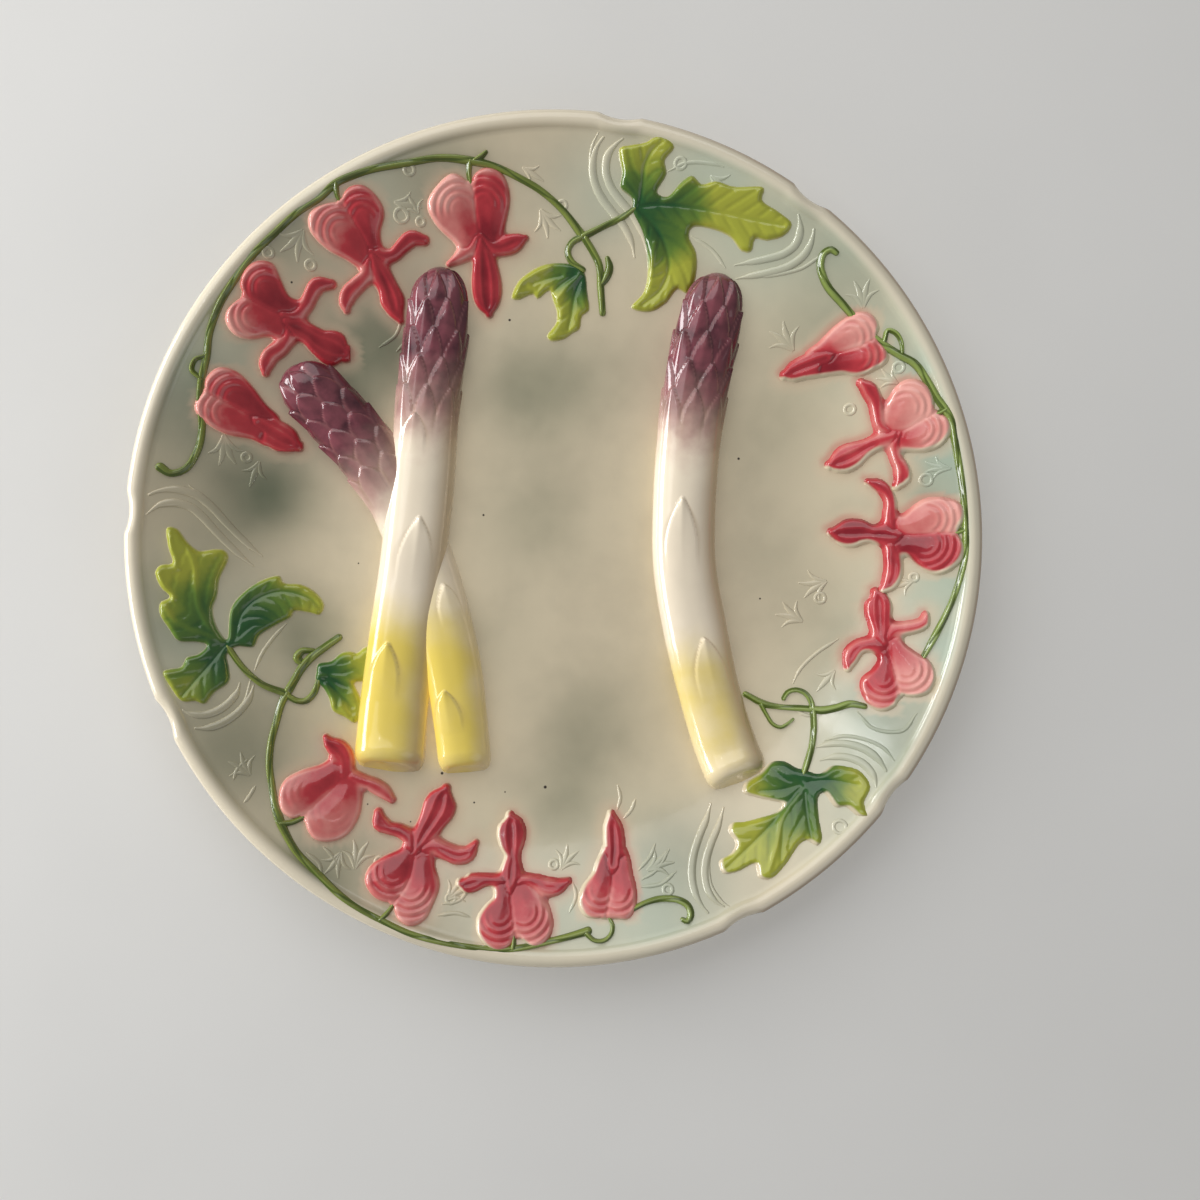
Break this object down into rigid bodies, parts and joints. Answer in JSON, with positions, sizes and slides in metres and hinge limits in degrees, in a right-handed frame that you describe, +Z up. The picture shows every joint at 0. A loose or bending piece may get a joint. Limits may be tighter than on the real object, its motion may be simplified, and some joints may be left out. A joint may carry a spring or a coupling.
{
  "type": "asparagus plate",
  "caption": "Round glazed earthenware asparagus plate with asparagus spears, flower garlands and leaves in coloured relief on a cream ground",
  "frame": {"origin": "Centre of the plane that the foot ring rests on", "axes": "+Z up out of the face, +Y towards the tips of the asparagus, +X to the right seen from above"},
  "size_m": [0.245, 0.245, 0.0257],
  "materials": {
    "cream_glaze": "glossy",
    "spear_glaze": "glossy",
    "flower_glaze": "glossy",
    "leaf_glaze": "glossy",
    "stem_glaze": "glossy"
  },
  "bodies": {
    "root": {"plate_body": "cream_glaze", "spear_left_front": "spear_glaze", "spear_right": "spear_glaze", "spear_left_back_head": "spear_glaze", "spear_left_back_shaft": "spear_glaze", "top_scroll_left": "cream_glaze", "top_scroll_right": "cream_glaze", "left_scroll_upper": "cream_glaze", "left_scroll_lower": "cream_glaze", "bottom_scroll_left": "cream_glaze", "bottom_scroll_right": "cream_glaze", "left_garland_stem": "stem_glaze", "right_garland_stem": "stem_glaze", "bottom_garland_stem": "stem_glaze", "top_leaf_twig": "stem_glaze", "top_stub_twig": "stem_glaze", "top_leaf_petiole": "stem_glaze", "left_stub_twig": "stem_glaze", "left_leaf_petiole": "stem_glaze", "small_leaf_petiole": "stem_glaze", "bottom_leaf_crook": "stem_glaze", "cross_twig_inner": "stem_glaze", "cross_twig_outer": "stem_glaze", "cross_twig_curl": "stem_glaze", "bottom_bud_tendril": "stem_glaze", "bottom_bud_calyx": "stem_glaze", "top_leaf_large": "leaf_glaze", "top_leaf_small": "leaf_glaze", "left_leaf_large": "leaf_glaze", "left_leaf_small": "leaf_glaze", "bottom_leaf": "leaf_glaze", "left_garland_flower_1": "flower_glaze", "left_garland_flower_2": "flower_glaze", "left_garland_flower_3": "flower_glaze", "left_garland_bud": "flower_glaze", "right_garland_bud": "flower_glaze", "right_garland_flower_1": "flower_glaze", "right_garland_flower_2": "flower_glaze", "right_garland_flower_3": "flower_glaze", "bottom_garland_flower_1": "flower_glaze", "bottom_garland_flower_2": "flower_glaze", "bottom_garland_flower_3": "flower_glaze", "bottom_garland_bud": "flower_glaze"}
  },
  "joints": []
}
